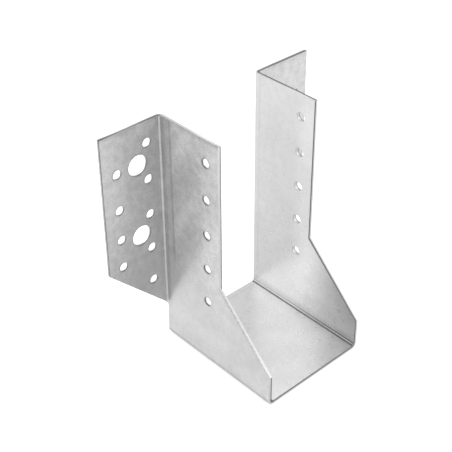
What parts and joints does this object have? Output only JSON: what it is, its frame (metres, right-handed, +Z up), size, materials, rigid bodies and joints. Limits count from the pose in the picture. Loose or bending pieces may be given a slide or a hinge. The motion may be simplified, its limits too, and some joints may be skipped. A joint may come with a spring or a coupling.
{
  "type": "joist hanger",
  "caption": "U-shaped joist hanger folded from one galvanised steel sheet, with a seat for the joist, sloped wings and outward flanges punched for nails and bolts.",
  "frame": {"origin": "middle of the seat's rear edge, on the upper face of the seat that carries the joist; the header's face lies one sheet thickness (2 mm) behind it", "axes": "+X across the pocket towards the right wing, +Y from the joist towards the header, +Z up from the seat"},
  "size_m": [0.133, 0.077, 0.132],
  "materials": {
    "galvanised_steel": "hot-dip galvanised sheet, satin, with a fine mottled zinc surface and duller sheared edges"
  },
  "bodies": {
    "root": {"joist_hanger": "galvanised_steel"}
  },
  "joints": []
}
